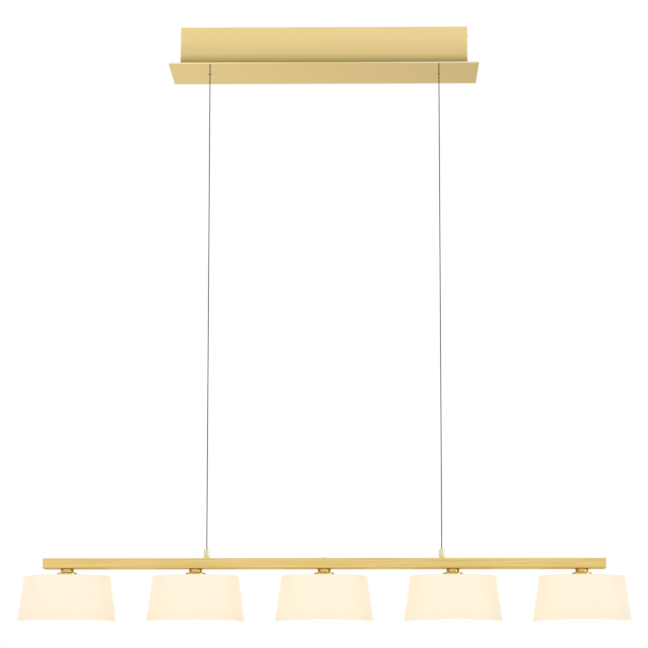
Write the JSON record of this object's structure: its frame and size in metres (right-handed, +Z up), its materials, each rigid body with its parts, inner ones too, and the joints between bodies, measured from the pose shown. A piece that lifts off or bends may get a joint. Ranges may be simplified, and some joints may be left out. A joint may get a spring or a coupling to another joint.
{
  "type": "linear pendant light",
  "caption": "Height-adjustable linear pendant light: long brass-toned ceiling canopy, two steel cables, slim bar and tapered opal glass shades.",
  "frame": {"origin": "on the ceiling, in the middle of the bracket's upper face", "axes": "+Z up into the ceiling, +X along the bar, +Y away from the viewer"},
  "size_m": [1.2546, 0.2006, 1.2318],
  "materials": {
    "satin_brass_sheet": "satin, brass-toned anodised",
    "brushed_brass_bar": "brushed along the bar, brass-toned anodised",
    "polished_brass": "turned and polished",
    "polished_steel": "polished",
    "zinc_steel": "zinc plated",
    "steel_cable": "fine stranded rope",
    "spring_steel": "blued",
    "driver_case": "matt white",
    "terminal_plastic": "gloss white",
    "lead_insulation": "white silicone",
    "drum_plastic": "moulded black",
    "circuit_board": "white solder mask",
    "switch_plastic": "matt black",
    "clear_plastic": "translucent",
    "ring_plastic": "gloss white",
    "holder_ceramic": "white glaze",
    "lit_bulb": "opal, lit",
    "opal_glass": "satin opal, lit from within"
  },
  "bodies": {
    "canopy": {"ceiling_bracket": "zinc_steel", "canopy_housing": "satin_brass_sheet", "cover_plate": "satin_brass_sheet", "housing_screws": "zinc_steel", "plate_screws": "zinc_steel", "bracket_screws": "zinc_steel", "led_driver": "driver_case", "mains_terminal": "terminal_plastic", "reel_frame_left": "zinc_steel", "reel_frame_right": "zinc_steel", "reel_axle_left": "zinc_steel", "reel_axle_right": "zinc_steel", "power_spring_left": "spring_steel", "power_spring_right": "spring_steel", "cable_guide_left": "polished_steel", "cable_guide_right": "polished_steel", "cable_lead_left": "steel_cable", "cable_lead_right": "steel_cable", "supply_lead_left": "lead_insulation", "supply_lead_right": "lead_insulation"},
    "reel_left": {"reel_drum_left": "drum_plastic", "drum_lid_left": "drum_plastic"},
    "reel_right": {"reel_drum_right": "drum_plastic", "drum_lid_right": "drum_plastic"},
    "suspension": {"suspension_cable_left": "steel_cable", "suspension_cable_right": "steel_cable"},
    "pendant": {"bar_profile": "brushed_brass_bar", "bus_board": "circuit_board", "sleeve_nuts": "zinc_steel", "dimmer_switch": "switch_plastic", "button_spring": "spring_steel", "neck_nuts": "zinc_steel", "shade_rings": "ring_plastic", "end_cap_left": "brushed_brass_bar", "end_cap_right": "brushed_brass_bar", "insulating_bush_left": "clear_plastic", "insulating_bush_right": "clear_plastic", "cable_sleeve_left": "polished_brass", "cable_sleeve_right": "polished_brass", "lamp_neck_1": "polished_brass", "lamp_neck_2": "polished_brass", "lamp_neck_3": "polished_brass", "lamp_neck_4": "polished_brass", "lamp_neck_5": "polished_brass", "lamp_holder_1": "holder_ceramic", "lamp_holder_2": "holder_ceramic", "lamp_holder_3": "holder_ceramic", "lamp_holder_4": "holder_ceramic", "lamp_holder_5": "holder_ceramic", "led_bulb_1": "lit_bulb", "led_bulb_2": "lit_bulb", "led_bulb_3": "lit_bulb", "led_bulb_4": "lit_bulb", "led_bulb_5": "lit_bulb", "opal_shade_1": "opal_glass", "opal_shade_2": "opal_glass", "opal_shade_3": "opal_glass", "opal_shade_4": "opal_glass", "opal_shade_5": "opal_glass"},
    "button": {"dimmer_button": "polished_brass"}
  },
  "joints": [
    {"name": "cable_sway", "type": "hinge", "parent": "canopy", "child": "suspension", "pos_m": [0, 0, -0.082], "axis": [1, 0, 0], "range_deg": [-8, 8]},
    {"name": "pendant_height", "type": "slide", "parent": "suspension", "child": "pendant", "axis": [0, 0, 1], "range_m": [0, 0.45], "deforming": ["suspension_cable_left", "suspension_cable_right"]},
    {"name": "reel_left_spin", "type": "hinge", "parent": "canopy", "child": "reel_left", "pos_m": [-0.2197, 0, -0.034], "axis": [0, 1, 0], "range_deg": [0, 1211.47]},
    {"name": "reel_right_spin", "type": "hinge", "parent": "canopy", "child": "reel_right", "pos_m": [0.2197, 0, -0.034], "axis": [0, 1, 0], "range_deg": [-1211.47, 0]},
    {"name": "button_press", "type": "slide", "parent": "pendant", "child": "button", "axis": [0, 0, -1], "range_m": [0, 0.0012], "stiffness_N_per_m": 600, "springref_m": -0.0012, "deforming": ["button_spring"]}
  ],
  "couplings": [
    {"joint": "reel_left_spin", "follows": "pendant_height", "rad_per_m": 46.948},
    {"joint": "reel_right_spin", "follows": "pendant_height", "rad_per_m": -46.948}
  ]
}
